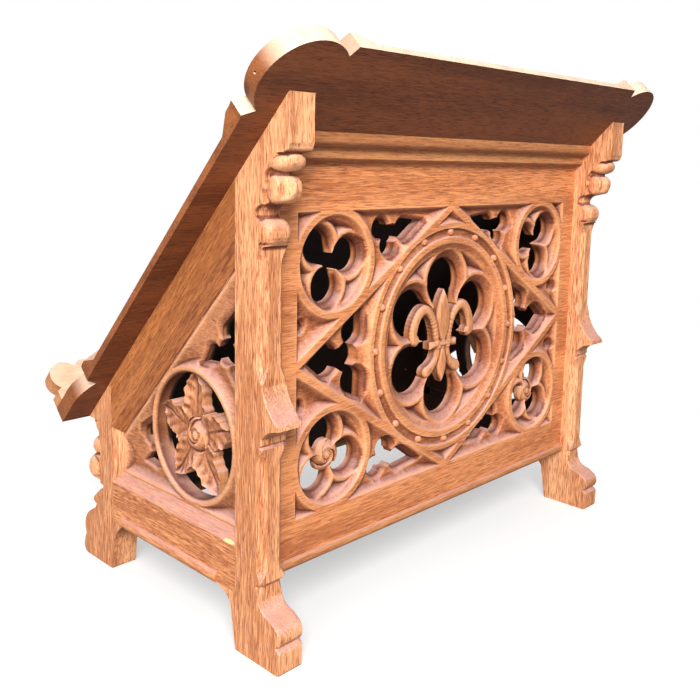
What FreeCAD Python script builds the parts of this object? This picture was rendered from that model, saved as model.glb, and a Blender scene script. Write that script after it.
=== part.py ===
import FreeCAD, Part
import os
import math

os.makedirs("parts", exist_ok=True)

# A table lectern in oak: four shaped posts, two triangular side frames with pierced tracery,
# one tall pierced panel, a sloping desk board with a book ledge, and small mouldings.
# Build frame, in mm: X across, Y from the tall face (y = 0) to the reader, Z up from the table.
# Every node is shifted by -y_mid just before export, so that the origin is under the middle.

# ---- driving dimensions -------------------------------------------------------------------
half_w = 220.0          # outside faces of the posts
post_t = 22.5           # post thickness across
in_x = half_w - post_t  # inside faces of the posts
slope = 45.74           # desk slope, degrees
low_y = 238.0           # underside of the board at its low end
low_z = 129.2
board_len = 417.0
board_t = 14.0
board_half = 244.5
corner_up = 66.0        # up the board: where the rounded lower corners end
lobe_up = 350.0         # where the lobes of the upper corners begin
lobe_x = 185.0          # half the straight run of the top edge
ledge_t = 13.5
ledge_top = 50.5        # height of the ledge above the board's underside, square to the board
rear_y = 29.4           # back of the tall posts
front_y = 199.5         # inner edge of the short posts
foot_rail_z = 44.4      # underside of the side frames
rail_top_z = 80.0       # outer top edge of the bottom rails
frame_cham = 8.0        # chamfer round the side panels
rail_deep = 36.0        # depth of the sloping rails, square to the board
panel_x = 212.0         # outer face of the side panels
panel_t = 14.0
tongue = 5.0            # length of the tongues on the panels
face_y = 13.0           # outer face of the tall panel
back_y = 29.5           # its back
face_low_z = 56.0
tenon_len = 16.0

sin_s = math.sin(math.radians(slope))
cos_s = math.cos(math.radians(slope))
tan_s = math.tan(math.radians(slope))
y_mid = (low_y - board_len * cos_s + low_y + ledge_top * sin_s) / 2.0


# ---- helpers ------------------------------------------------------------------------------
def vec(x, y, z):
    return FreeCAD.Vector(x, y, z)


def side_plane(x):
    return lambda a, b: vec(x, a, b)


def face_plane(y, cx=0.0, cz=0.0):
    return lambda a, b: vec(cx + a, y, cz + b)


def desk_plane(w):
    return lambda a, b: vec(a, -b, w)


def wire(place, start, steps):
    """Closed outline. A step (a, b) is a straight run, ((a, b), (c, d)) an arc by its middle and end."""
    edges = []
    here = start
    for step in steps:
        if isinstance(step[0], tuple):
            edges.append(Part.Arc(place(*here), place(*step[0]), place(*step[1])).toShape())
            here = step[1]
        else:
            edges.append(Part.makeLine(place(*here), place(*step)))
            here = step
    if math.dist(here, start) > 1e-6:
        edges.append(Part.makeLine(place(*here), place(*start)))
    return Part.Wire(edges)


def prism(place, start, steps, sweep):
    return Part.Face(wire(place, start, steps)).extrude(sweep)


def box(x0, x1, y0, y1, z0, z1):
    return Part.makeBox(x1 - x0, y1 - y0, z1 - z0, vec(x0, y0, z0))


def rod_y(x, z, r, y0, y1):
    return Part.makeCylinder(r, y1 - y0, vec(x, y0, z), vec(0, 1, 0))


def rod_x(y, z, r, x0, x1):
    return Part.makeCylinder(r, x1 - x0, vec(x0, y, z), vec(1, 0, 0))


def cone_y(x, z, r0, r1, y0, y1):
    return Part.makeCone(r0, r1, y1 - y0, vec(x, y0, z), vec(0, 1, 0))


def fuse(shapes):
    whole = shapes[0]
    if len(shapes) > 1:
        whole = whole.fuse(shapes[1:])
    return whole


def mirrored(shape):
    return shape.mirror(vec(0, 0, 0), vec(1, 0, 0))


def on_desk(shape):
    """Moves a shape drawn with X across, -Y up the slope and Z square to the board on to the desk."""
    moved = shape.copy()
    moved.rotate(vec(0, 0, 0), vec(1, 0, 0), -slope)
    moved.translate(vec(0, low_y, low_z))
    return moved


def tetra(a, b, c, d):
    faces = []
    for three in ((a, b, c), (a, b, d), (b, c, d), (a, c, d)):
        faces.append(Part.Face(Part.makePolygon([three[0], three[1], three[2], three[0]])))
    return Part.makeSolid(Part.makeShell(faces))


def chamfer_tool(p0, p1, u, v, leg, run=0.0):
    """Wedge that cuts a chamfer along the edge p0-p1; u and v point into the two faces."""
    over = 0.4
    ring = []
    for p in (p0, p1):
        ring.append([p - u * over - v * over, p + u * (leg + over) - v * over, p + v * (leg + over) - u * over])
    tri = Part.Face(Part.makePolygon(ring[0] + [ring[0][0]]))
    parts = [tri.extrude(p1 - p0)]
    if run > 0:
        along = (p1 - p0).normalize()
        parts.append(tetra(ring[0][0], ring[0][1], ring[0][2], ring[0][0] - along * run))
        parts.append(tetra(ring[1][0], ring[1][1], ring[1][2], ring[1][0] + along * run))
    return fuse(parts)


def pointed_foil(place, cx, cz, r, tip, sweep):
    """Round foil drawn out to a point."""
    dx = tip[0] - cx
    dz = tip[1] - cz
    reach = math.hypot(dx, dz)
    lean = math.acos(r / reach)
    base = math.atan2(dz, dx)
    p0 = (cx + r * math.cos(base + lean), cz + r * math.sin(base + lean))
    p1 = (cx + r * math.cos(base - lean), cz + r * math.sin(base - lean))
    far = (cx - r * math.cos(base), cz - r * math.sin(base))
    return prism(place, p0, [(far, p1), tip], sweep)


def save(shape, name):
    moved = shape.copy()
    moved.translate(vec(0, -y_mid, 0))
    solids = moved.Solids
    if len(solids) == 1:
        moved = solids[0]
    else:
        moved = Part.makeCompound(solids)
    bb = moved.BoundBox
    moved.exportStep("parts/" + name + ".step")
    print(name, len(solids), moved.isValid(), round(bb.XMin, 1), round(bb.XMax, 1),
          round(bb.YMin, 1), round(bb.YMax, 1), round(bb.ZMin, 1), round(bb.ZMax, 1))


above_desk = on_desk(Part.makeBox(700, 900, 300, vec(-350, -700, 0)))


# ---- desk board ---------------------------------------------------------------------------
# The long edges are straight; each upper corner is a round lobe between two notches, and each
# lower corner is rounded below a notch.
edge_steps = [(board_half, 28.0), ((242.0, 42.0), (233.6, 55.4)), (243.5, 62.0), (board_half, corner_up)]
edge_steps += [(board_half, lobe_up), (245.3, 354.7), (236.0, 359.2), ((237.4, 406.9), (189.0, 409.0))]
edge_steps += [(lobe_x, board_len), (-lobe_x, board_len), (-189.0, 409.0), ((-237.4, 406.9), (-236.0, 359.2))]
edge_steps += [(-245.3, 354.7), (-board_half, lobe_up), (-board_half, corner_up), (-243.5, 62.0)]
edge_steps += [(-233.6, 55.4), ((-242.0, 42.0), (-board_half, 28.0)), (-board_half, 0.0)]
desk_board = prism(desk_plane(0.0), (board_half, 0.0), edge_steps, vec(0, 0, board_t))
desk_cham = 8.5
stop_run = 15.0
stop_gap = stop_run + 4.0
down = vec(0, 0, -1)
for s in (-1, 1):
    inward = vec(-s, 0, 0)
    lo = vec(s * board_half, -(corner_up + stop_gap), board_t)
    hi = vec(s * board_half, -(lobe_up - stop_gap), board_t)
    desk_board = desk_board.cut(chamfer_tool(lo, hi, inward, down, desk_cham, stop_run))
lo = vec(-lobe_x + stop_gap, -board_len, board_t)
hi = vec(lobe_x - stop_gap, -board_len, board_t)
desk_board = desk_board.cut(chamfer_tool(lo, hi, vec(0, 1, 0), down, desk_cham, stop_run))
nail_hole = Part.makeCylinder(1.2, 6.0, vec(-247.6, -383.0, 7.0), vec(1, 0, 0))
desk_board = on_desk(desk_board.cut(nail_hole))

# ---- book ledge: an upright strip along the low end, with shaped ends -------------------------
ledge_steps = [(244.3, 23.0), (240.0, 26.0), ((241.2, 47.2), (220.2, 45.0)), (216.8, 48.8)]
ledge_steps += [(214.8, ledge_top), (-214.8, ledge_top), (-216.8, 48.8), (-220.2, 45.0)]
ledge_steps += [((-241.2, 47.2), (-240.0, 26.0)), (-244.3, 23.0), (-244.3, board_t)]
book_ledge = prism(face_plane(0.0), (244.3, board_t), ledge_steps, vec(0, -ledge_t, 0))
book_ledge = on_desk(book_ledge)

# ---- side frames (left hand; the right hand is the mirror image) ------------------------------
slope_steps = [(-half_w, -(rail_deep - frame_cham)), (-panel_x, -rail_deep), (-in_x, -rail_deep), (-in_x, 0.0)]
slope_rail = prism(face_plane(0.0), (-half_w, 0.0), slope_steps, vec(0, -420, 0))
slope_rail = on_desk(slope_rail).common(box(-half_w, -in_x, rear_y, front_y, 0, 500))

foot_steps = [(-half_w, rail_top_z), (-panel_x, rail_top_z + frame_cham), (-in_x, rail_top_z + frame_cham)]
foot_steps += [(-in_x, foot_rail_z)]
foot_rail = prism(face_plane(rear_y), (-half_w, foot_rail_z), foot_steps, vec(0, front_y - rear_y, 0))

# The inner edge of the short post is wider behind its chamfer.
stile_cham = 5.7
stile_y = front_y - stile_cham
stile = prism(lambda a, b: vec(a, b, foot_rail_z + 20), (-half_w, front_y),
              [(-panel_x, stile_y), (-in_x, stile_y), (-in_x, front_y)], vec(0, 0, 110))
stile = stile.cut(slope_rail).cut(foot_rail).cut(above_desk)
stile = stile.common(box(-half_w, -in_x, stile_y, front_y, rail_top_z, rail_top_z + 50))


def under_line(y, deep):
    """Height of the line lying `deep` below the board's underside, square to the board."""
    return low_z + (low_y - y) * tan_s - deep / cos_s


def side_blank(y0, y1, z0, deep, x0, x1):
    pts = [(y1, z0), (y1, under_line(y1, deep)), (y0, under_line(y0, deep))]
    return prism(side_plane(x0), (y0, z0), pts, vec(x1 - x0, 0, 0))


low_edge = rail_top_z + frame_cham
tongue_x0 = -208.0
tongue_x1 = -202.0
panel_back = -panel_x + panel_t
side_panel = side_blank(rear_y, stile_y, low_edge, rail_deep, -panel_x, panel_back)
side_tongue = side_blank(rear_y - tongue, stile_y + tongue, low_edge - tongue, rail_deep - tongue,
                         tongue_x0, tongue_x1)
side_whole = fuse([side_panel, side_tongue])

# Stub tenons, one at each end of each rail, hidden in the posts.
ten_x0 = -212.5
ten_x1 = -204.5
end_back = rear_y - tenon_len
end_front = front_y + tenon_len
foot_rail = fuse([foot_rail, box(ten_x0, ten_x1, end_back, rear_y + 1, 52, 78),
                  box(ten_x0, ten_x1, front_y - 1, end_front, 52, 78)])
slope_rail = fuse([slope_rail, box(ten_x0, ten_x1, end_back, rear_y + 1, 308, 332),
                   box(ten_x0, ten_x1, front_y - 1, end_front, 128, 146)])
slope_rail = slope_rail.cut(side_whole)
foot_rail = foot_rail.cut(side_whole)

# ---- tall posts -------------------------------------------------------------------------------
tall_steps = [
    (-19.8, 1.5),
    (-20.0, 16.0),
    ((-18.2, 18.4), (-14.7, 18.9)),
    ((-20.2, 26.5), (-15.6, 34.2)),
    (-10.2, 37.5),
    ((-1.5, 40.6), (3.0, 47.5)),
    (3.0, 57.0),
    (0.0, 60.0),
    (0.0, 158.6),
    (2.0, 160.2),
    (0.0, 161.8),
    (0.0, 166.0),
    ((-5.0, 171.2), (-17.2, 175.2)),
    (-16.2, 179.1),
    ((-7.2, 188.0), (0.0, 203.0)),
    (0.0, 298.4),
    ((-7.4, 308.0), (1.6, 317.9)),
    ((0.2, 323.6), (-9.0, 327.0)),
    ((-20.5, 335.5), (-14.0, 346.4)),
    (-13.6, 348.6),
    ((-20.9, 352.4), (-22.6, 359.6)),
    (-20.4, 361.2),
    (-24.4, 363.4),
    (-26.0, 368.0),
    (-26.0, 410.0),
    (rear_y, 410.0),
    (rear_y, foot_rail_z),
    (49.9, foot_rail_z),
    (47.4, 41.8),
    ((39.6, 39.4), (35.2, 34.0)),
    (29.4, 1.0),
    (29.2, 0.0),
]
tall_post = prism(side_plane(-half_w), (-18.5, 0.0), tall_steps, vec(post_t, 0, 0))
tall_post = tall_post.cut(above_desk)
into = vec(0, 1, 0)
post_cham = 6.0
for s, x in ((1, -half_w), (-1, -in_x)):
    for z0, z1 in ((76.0, 152.0), (215.0, 292.0)):
        tool = chamfer_tool(vec(x, 0, z0), vec(x, 0, z1), vec(s, 0, 0), into, post_cham, 8.0)
        tall_post = tall_post.cut(tool)
# Clefts between the carved buds of the bracket, at each front corner, and the drilled eyes.
for x in (-half_w, -in_x):
    for y, z, r in ((-22.5, 354.5, 2.2), (-20.5, 337.0, 3.0)):
        tall_post = tall_post.cut(Part.makeSphere(r, vec(x, y, z)))
    tall_post = tall_post.cut(rod_x(4.0, 323.5, 2.4, x - 3.0, x + 3.0))

# ---- short posts ------------------------------------------------------------------------------
short_steps = [
    (245.9, 0.0),
    ((251.6, 3.4), (252.6, 9.1)),
    (248.8, 18.2),
    ((250.4, 27.5), (240.4, 41.7)),
    (231.3, 47.3),
    (229.3, 51.7),
    (234.5, 53.8),
    (234.4, 56.6),
    (223.5, 65.4),
    (223.1, 73.8),
    (240.0, 72.4),
    ((246.2, 81.5), (241.5, 93.6)),
    (232.5, 97.0),
    ((236.9, 103.6), (231.8, 112.6)),
    ((231.2, 120.5), (236.3, 128.8)),
    (236.3, 150.0),
    (front_y, 190.0),
    (front_y, foot_rail_z),
    (183.0, foot_rail_z),
    ((193.4, 36.5), (198.6, 27.4)),
    (202.2, 1.0),
]
short_post = prism(side_plane(-half_w), (203.7, 0.0), short_steps, vec(post_t, 0, 0))
short_post = short_post.cut(above_desk)
short_post = fuse([short_post, stile])

# ---- tall tracery panel -----------------------------------------------------------------------
# One wide board. Its field is cut back, leaving thin raised fillets: a lozenge, a central
# double ring with pellets in its groove, and a ring in each corner. Foils are pierced through.
field_x = 177.0
field_z0 = 92.0
field_z1 = 320.0
mid_z = 206.0
depth_a = 4.0           # level of the sunk fields
depth_b = 10.0          # level where the pierced edges start
loz_x = 180.0
loz_z = 114.5
fillet = 5.5
ring_out = 100.0
groove_out = 95.5
groove_in = 88.0
ring_in = 83.0
hex_r = 49.0
hex_foil = 20.5
hex_arris = 28.0
tre_x = 138.5
tre_z = 75.0
tre_out = 41.5
tre_in = 36.5
tre_r = 18.3
tre_foil = 13.0
tre_arris = 17.6
pellet_r = 3.5
pellet_at = 91.75
pellet_count = 16

lift = 5.0              # cutters start this far clear of a face
over_top = 420.0        # above everything; the desk trims it
panel_steps = [(in_x, face_low_z), (in_x, over_top), (-in_x, over_top), (-in_x, face_low_z)]
tall_panel = prism(face_plane(face_y), (0.0, face_low_z), panel_steps, vec(0, back_y - face_y, 0))
tongue_y0 = 18.0
tongue_y1 = 24.0
panel_tongue = box(-in_x - tongue, in_x + tongue, tongue_y0, tongue_y1, face_low_z + 4, over_top)
tall_whole = fuse([tall_panel, panel_tongue]).cut(above_desk)


def lozenge(grow, y, sweep):
    dx = grow / math.sin(math.atan2(loz_z, loz_x))
    dz = grow / math.cos(math.atan2(loz_z, loz_x))
    pts = [(0.0, loz_z + dz), (-loz_x - dx, 0.0), (0.0, -loz_z - dz)]
    return prism(face_plane(y, 0.0, mid_z), (loz_x + dx, 0.0), pts, vec(0, sweep, 0))


deep = lift + depth_a
top = face_y - lift
loz_bar = lozenge(fillet / 2, top, deep).cut(lozenge(-fillet / 2, top - 1, deep + 2))
raised = [loz_bar, rod_y(0, mid_z, ring_out, top, top + deep)]
corner_rings = []
for sx in (-1, 1):
    for sz in (-1, 1):
        corner_rings.append((sx * tre_x, mid_z + sz * tre_z, sx, sz))
for cx, cz, sx, sz in corner_rings:
    raised.append(rod_y(cx, cz, tre_out, top, top + deep))
field = box(-field_x, field_x, top, top + deep, field_z0, field_z1)
tall_whole = tall_whole.cut(field.cut(fuse(raised)))

groove = rod_y(0, mid_z, groove_out, top, face_y + 3.2).cut(rod_y(0, mid_z, groove_in, top - 1, face_y + 4))
bowls = [cone_y(0, mid_z, ring_in, ring_in - depth_a, face_y, face_y + depth_a), groove]
bowls.append(rod_y(0, mid_z, ring_in, top, face_y))
through = [rod_y(0, mid_z, 34.0, top, back_y + lift)]
for k in range(6):
    ang = math.radians(90 + 60 * k)
    x = hex_r * math.cos(ang)
    z = mid_z + hex_r * math.sin(ang)
    bowls.append(cone_y(x, z, hex_arris, hex_foil, face_y + depth_a, face_y + depth_b))
    through.append(rod_y(x, z, hex_foil, top, back_y + lift))
for cx, cz, sx, sz in corner_rings:
    bowls.append(cone_y(cx, cz, tre_in, tre_in - depth_a, face_y, face_y + depth_a))
    bowls.append(rod_y(cx, cz, tre_in, top, face_y))
    through.append(rod_y(cx, cz, 10.0, top, back_y + lift))
    first = math.degrees(math.atan2(sz, sx))
    for k in range(3):
        ang = math.radians(first + 120 * k)
        x = cx + tre_r * math.cos(ang)
        z = cz + tre_r * math.sin(ang)
        bowls.append(cone_y(x, z, tre_arris, tre_foil, face_y + depth_a, face_y + depth_b))
        through.append(rod_y(x, z, tre_foil, top, back_y + lift))

# Spandrels: each is three foils, some drawn out to a point into the corners of its triangle.
run_y = vec(0, back_y + lift - top, 0)
spandrel_foils = [(84.0, 98.0, 8.4), (74.5, 84.5, 8.2), (71.0, 93.5, 8.6), (169.5, 30.0, 3.2)]
for sx in (-1, 1):
    through.append(pointed_foil(face_plane(top), sx * 141.0, mid_z, 12.5, (sx * 160.0, mid_z), run_y))
    through.append(rod_y(sx * 120.5, mid_z, 12.0, top, back_y + lift))
    for sz in (-1, 1):
        tip = (sx * 103.6, mid_z + sz * 35.0)
        through.append(pointed_foil(face_plane(top), sx * 113.5, mid_z + sz * 19.5, 10.5, tip, run_y))
        tip = (sx * 34.0, mid_z + sz * 103.0)
        through.append(pointed_foil(face_plane(top), sx * 57.0, mid_z + sz * 97.0, 8.6, tip, run_y))
        for x, z, r in spandrel_foils:
            through.append(rod_y(sx * x, mid_z + sz * z, r, top, back_y + lift))
tall_whole = tall_whole.cut(fuse(bowls))
tall_whole = tall_whole.cut(fuse(through))
pellets = []
for k in range(pellet_count):
    ang = math.radians(90 + 360.0 * k / pellet_count)
    centre = vec(pellet_at * math.cos(ang), face_y + 3.6, mid_z + pellet_at * math.sin(ang))
    pellets.append(Part.makeSphere(pellet_r, centre))
tall_whole = fuse([tall_whole] + pellets)

# ---- roundel ornament: a plain fleur-de-lis held by the points of the tracery ------------------
orn_face = face_y + 4.5
orn_back = face_y + 14.0
orn_sweep = vec(0, orn_back - orn_face, 0)
orn = face_plane(orn_face, 0.0, mid_z)
leaf = prism(orn, (0.0, -8.0), [((-8.6, 16.0), (0.0, 42.0)), ((8.6, 16.0), (0.0, -8.0))], orn_sweep)
stem = prism(orn, (0.0, -6.0), [((-6.4, -24.0), (0.0, -41.0)), ((6.4, -24.0), (0.0, -6.0))], orn_sweep)
band = prism(orn, (-16.0, -10.0), [(16.0, -10.0), ((19.5, -6.5), (16.0, -3.0)), (-16.0, -3.0),
                                  ((-19.5, -6.5), (-16.0, -10.0))], orn_sweep)
curls = []
for s in (-1, 1):
    curl = [((s * 14.5, 17.0), (s * 27.0, 28.0)), ((s * 41.5, 24.0), (s * 42.5, 5.0)),
            ((s * 39.5, -5.5), (s * 33.5, -3.0)), ((s * 31.0, 1.0), (s * 33.5, 5.5)),
            ((s * 31.5, 15.5), (s * 25.5, 17.5)), ((s * 16.5, 10.0), (s * 13.0, -5.0))]
    curls.append(prism(orn, (s * 4.5, -5.0), curl, orn_sweep))
    foot = [((s * 9.5, -20.0), (s * 19.5, -24.5)), ((s * 26.5, -30.0), (s * 21.0, -36.5)),
            ((s * 8.0, -30.0), (s * 1.5, -10.0))]
    curls.append(prism(orn, (s * 6.5, -8.0), foot, orn_sweep))
roundel_ornament = fuse([leaf, stem, band] + curls).removeSplitter()

# ---- buds in the two lower corner rings ---------------------------------------------------------
bud_r = 13.0
bud_face = face_y + 4.0


def bud(cx, cz):
    core = rod_y(cx, cz, bud_r, bud_face + 4.0, face_y + 14.5)
    dome = Part.makeSphere(bud_r + 3.0, vec(cx, bud_face + bud_r + 3.0, cz))
    dome = dome.common(rod_y(cx, cz, bud_r, bud_face, bud_face + 5.0))
    heart = Part.makeSphere(4.5, vec(cx, bud_face + 3.0, cz))
    ring = rod_y(cx, cz, 7.5, bud_face - 1.0, bud_face + 2.6)
    ring = ring.cut(rod_y(cx, cz, 6.0, bud_face - 2.0, bud_face + 4.0))
    return fuse([fuse([core, dome]).cut(ring), heart])


bud_left = bud(-tre_x, mid_z - tre_z)
bud_right = mirrored(bud_left)
tall_whole = tall_whole.cut(roundel_ornament)
tall_whole = tall_whole.cut(bud_left)
tall_whole = tall_whole.cut(bud_right)

# ---- side tracery -------------------------------------------------------------------------------
rose_y = 95.0
rose_z = 144.0
rose_in = 49.5
rose_out = 54.0
sink = 3.5
x0 = -panel_x
ring_keep = rod_x(rose_y, rose_z, rose_out, x0 - 2, x0 + sink + 1)
sunk = side_blank(rear_y + 2.0, stile_y - 3.0, low_edge + 3.5, rail_deep + 4.0, x0 - 1, x0 + sink)
side_whole = side_whole.cut(sunk.cut(ring_keep))
run_x = vec(panel_t + 10, 0, 0)
side_cut = [rod_x(rose_y, rose_z, rose_in, x0 - 5, x0 + panel_t + 5)]
place = side_plane(x0 - 5)
side_cut.append(pointed_foil(place, 162.0, 128.0, 8.2, (157.0, 141.5), run_x))
side_cut.append(pointed_foil(place, 153.5, 109.5, 7.4, (169.5, 104.5), run_x))
side_cut.append(rod_x(156.5, 118.5, 5.6, x0 - 5, x0 + panel_t + 5))
side_cut.append(pointed_foil(place, 56.0, 230.0, 8.6, (46.0, 251.0), run_x))
side_cut.append(pointed_foil(place, 73.5, 212.0, 7.6, (87.0, 203.5), run_x))
side_cut.append(pointed_foil(place, 47.0, 204.0, 8.0, (38.5, 184.0), run_x))
side_cut.append(rod_x(58.5, 215.5, 9.6, x0 - 5, x0 + panel_t + 5))
side_whole = side_whole.cut(fuse(side_cut))

# ---- roses in the side rings ----------------------------------------------------------------------
petal_x = x0 + 3.0
petals = []
for k in range(5):
    ang = math.radians(90 + 72 * k)
    ux = math.cos(ang)
    uz = math.sin(ang)

    def along(a, b, ux=ux, uz=uz):
        return vec(petal_x, rose_y + a * ux - b * uz, rose_z + a * uz + b * ux)

    petals.append(prism(along, (4.0, 0.0), [((28.0, 13.0), (56.0, 0.0)), ((28.0, -13.0), (4.0, 0.0))],
                        vec(8.0, 0, 0)))
rose = fuse(petals + [rod_x(rose_y, rose_z, 14.0, petal_x + 2.0, petal_x + 8.0),
                      Part.makeSphere(9.0, vec(petal_x + 6.5, rose_y, rose_z))])
rose = rose.common(rod_x(rose_y, rose_z, rose_in, x0, x0 + panel_t))

# ---- cornice, beads and apron ------------------------------------------------------------------------
cornice_steps = [(-3.0, 372.0), ((-1.6, 368.0), (5.0, 366.0)), (5.0, 358.4), ((6.4, 356.8), (face_y, 356.0))]
cornice_steps += [(face_y, 390.0), (-3.0, 390.0)]
cornice = prism(side_plane(-in_x), (-3.0, 380.0), cornice_steps, vec(2 * in_x, 0, 0))
cornice = cornice.cut(above_desk)
bead_out = 2.5
bead_steps = [(face_y - bead_out + 1.2, face_low_z), ((face_y - bead_out, 59.6), (face_y - 1.2, 63.5))]
bead_steps += [(face_y, 63.5)]
panel_bead = prism(side_plane(-in_x), (face_y, face_low_z), bead_steps, vec(2 * in_x, 0, 0))
side_bead = prism(face_plane(50.5), (-half_w, foot_rail_z), [(-half_w - 1.4, foot_rail_z),
                  ((-half_w - 3.0, 49.0), (-half_w - 0.8, 53.0)), (-half_w, 53.0)], vec(0, 134.0, 0))
apron = fuse([box(-in_x, in_x, 205.0, 219.0, foot_rail_z, 200.0),
              box(-in_x - tongue, in_x + tongue, 209.0, 215.0, foot_rail_z + 4, 200.0)]).cut(above_desk)
apron = apron.cut(rod_y(165.0, 115.0, 1.5, 200.0, 225.0))

# ---- fixings --------------------------------------------------------------------------------------------
def screw(base, aim, length, r, head_r, head_h):
    shank = Part.makeCylinder(r, length, base, aim)
    head = Part.makeCone(head_r, r, head_h, base, aim)
    point = Part.makeCone(r, 0.4, 3.0, base + aim * length, aim)
    return fuse([shank, head, point])


desk_screws = []
lean = vec(-9.0, 0.0, 31.0).normalize()
screw_bases = [vec(-in_x - 0.6, -up, -23.0) for up in (92.0, 177.0, 262.0)]
for base in screw_bases:
    one = on_desk(screw(base, lean, 30.0, 1.9, 3.9, 3.0))
    desk_screws.append(one)
    desk_screws.append(mirrored(one))
ledge_screws = []
for x in (-180.0, -90.0, 0.0, 90.0, 180.0):
    base = vec(x, -ledge_t / 2, 0.0)
    ledge_screws.append(on_desk(screw(base, vec(0, 0, 1), 32.0, 1.7, 3.6, 2.6)))
pins = []
for y in (58.0, 117.5, 177.0):
    pin = screw(vec(-half_w - 2.6, y, 48.7), vec(1, 0, 0), 13.0, 0.7, 1.0, 0.8)
    pins.append(pin)
    pins.append(mirrored(pin))
for x in (-150.0, 0.0, 150.0):
    pins.append(screw(vec(x, face_y - 2.1, 59.6), vec(0, 1, 0), 12.0, 0.7, 1.0, 0.8))

# ---- joints: every groove, mortise and pilot hole takes the shape of what goes into it ---------------
tall_left = tall_post.cut(side_whole).cut(foot_rail).cut(slope_rail).cut(tall_whole)
short_left = short_post.cut(side_whole).cut(foot_rail).cut(slope_rail).cut(apron)
tall_whole = tall_whole.cut(fuse(pins[6:]))
left_pins = pins[0:6:2]
foot_rail = foot_rail.cut(fuse(left_pins))
side_bead = side_bead.cut(fuse(left_pins))
panel_bead = panel_bead.cut(fuse(pins[6:]))
pocket_cut = []
for base in screw_bases:
    pocket_cut.append(on_desk(Part.makeCylinder(4.2, 12.0, base - lean * 12.0, lean)))
left_desk = desk_screws[0::2]
slope_rail = slope_rail.cut(fuse(left_desk)).cut(fuse(pocket_cut))
desk_board = desk_board.cut(Part.makeCompound(desk_screws + ledge_screws))
book_ledge = book_ledge.cut(Part.makeCompound(ledge_screws))

save(desk_board, "desk_board")
save(book_ledge, "book_ledge")
pairs = [("rear_post", tall_left), ("front_post", short_left), ("side_top_rail", slope_rail),
         ("side_bottom_rail", foot_rail), ("side_tracery", side_whole), ("side_rose", rose),
         ("side_bead", side_bead)]
for name, shape in pairs:
    save(shape, name + "_left")
    save(mirrored(shape), name + "_right")
save(tall_whole, "tall_tracery_panel")
save(roundel_ornament, "roundel_ornament")
save(bud_left, "bud_lower_left")
save(bud_right, "bud_lower_right")
save(cornice, "cornice_mould")
save(panel_bead, "panel_bead")
save(apron, "front_apron_board")
save(Part.makeCompound(desk_screws), "desk_screws")
save(Part.makeCompound(ledge_screws), "ledge_screws")
save(Part.makeCompound(pins), "bead_pins")
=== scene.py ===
# %% [markdown]
# # A carved oak table lectern
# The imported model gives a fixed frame: each wooden piece sits where the joiner put it.
# Plain pieces keep their CAD shape and get a finish. The pierced and carved boards are carved
# again here, because their hollows need a finer surface than flat facets.

# %% Load the frame
import math

import bmesh
import bpy
import numpy as np
from mathutils import Matrix, Vector


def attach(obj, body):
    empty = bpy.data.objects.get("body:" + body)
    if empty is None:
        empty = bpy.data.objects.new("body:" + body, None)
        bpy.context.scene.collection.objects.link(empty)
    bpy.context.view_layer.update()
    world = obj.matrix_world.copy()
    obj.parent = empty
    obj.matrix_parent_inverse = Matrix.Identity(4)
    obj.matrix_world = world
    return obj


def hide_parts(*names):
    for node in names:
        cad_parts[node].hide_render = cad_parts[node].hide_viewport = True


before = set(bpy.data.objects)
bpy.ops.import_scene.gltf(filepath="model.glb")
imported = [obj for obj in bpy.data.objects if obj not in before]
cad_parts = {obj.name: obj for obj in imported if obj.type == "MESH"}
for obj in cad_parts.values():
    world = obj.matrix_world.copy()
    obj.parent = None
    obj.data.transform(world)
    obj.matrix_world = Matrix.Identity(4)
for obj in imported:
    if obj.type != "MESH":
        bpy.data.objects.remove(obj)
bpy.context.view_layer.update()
MM = 0.001
Y_MID = 110.57  # distance from the face line of the tall posts to the origin, mm
SIDES = (("left", -1), ("right", 1))


def add_object(name, data):
    thing = bpy.data.objects.new(name, data)
    bpy.context.scene.collection.objects.link(thing)
    return thing


# %% [markdown]
# ## Camera
# The camera looks at the tall face past its left corner. The lens shift is only what the
# framing needs.

# %% Camera
cam = bpy.data.cameras.new("camera")
camera = add_object("camera", cam)
cam.sensor_width = 36.0
cam.lens = 43.76
cam.shift_x = -0.0264
cam.shift_y = -0.1014
cam.clip_start = 0.01
right = Vector((0.69076911, -0.72274407, 0.02188702))
down = Vector((-0.08503057, -0.11125359, -0.99014769))
ahead = Vector((0.71805838, 0.68210237, -0.13830589))
turn = Matrix((right, -down, -ahead)).transposed().to_4x4()
camera.matrix_world = Matrix.Translation((-0.57753, -0.54764, 0.35758)) @ turn
bpy.context.scene.camera = camera
bpy.context.scene.view_settings.view_transform = "Standard"
print("camera lens", cam.lens)

# %% [markdown]
# ## Node helpers
# A finish is easier to read when each node takes one line. `plug` takes a wire or a plain value,
# and every other helper returns the output that the next node needs.


# %% Node helpers
def plug(tree, value, target):
    """Wires an output to an input, or sets a plain value on it."""
    if isinstance(value, bpy.types.NodeSocket):
        tree.links.new(value, target)
    elif value is not None:
        target.default_value = value


def new_node(tree, kind, *values, **named):
    """A shader node; its inputs are wired or set in order, or by name with _ for a space."""
    node = tree.nodes.new("ShaderNode" + kind)
    for value, target in zip(values, node.inputs):
        plug(tree, value, target)
    for name, value in named.items():
        plug(tree, value, node.inputs[name.replace("_", " ")])
    return node


def math_node(tree, op, a, b=None, clamp=False):
    node = new_node(tree, "Math", a, b)
    node.operation = op
    node.use_clamp = clamp
    return node.outputs[0]


def times(tree, a, b, clamp=False):
    return math_node(tree, "MULTIPLY", a, b, clamp)


def plus(tree, a, b):
    return math_node(tree, "ADD", a, b)


def minus(tree, a, b):
    return math_node(tree, "SUBTRACT", a, b)


def vector_node(tree, op, a, b=None):
    node = new_node(tree, "VectorMath", a, b)
    node.operation = op
    return node.outputs["Value" if op in ("LENGTH", "DOT_PRODUCT") else "Vector"]


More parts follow.
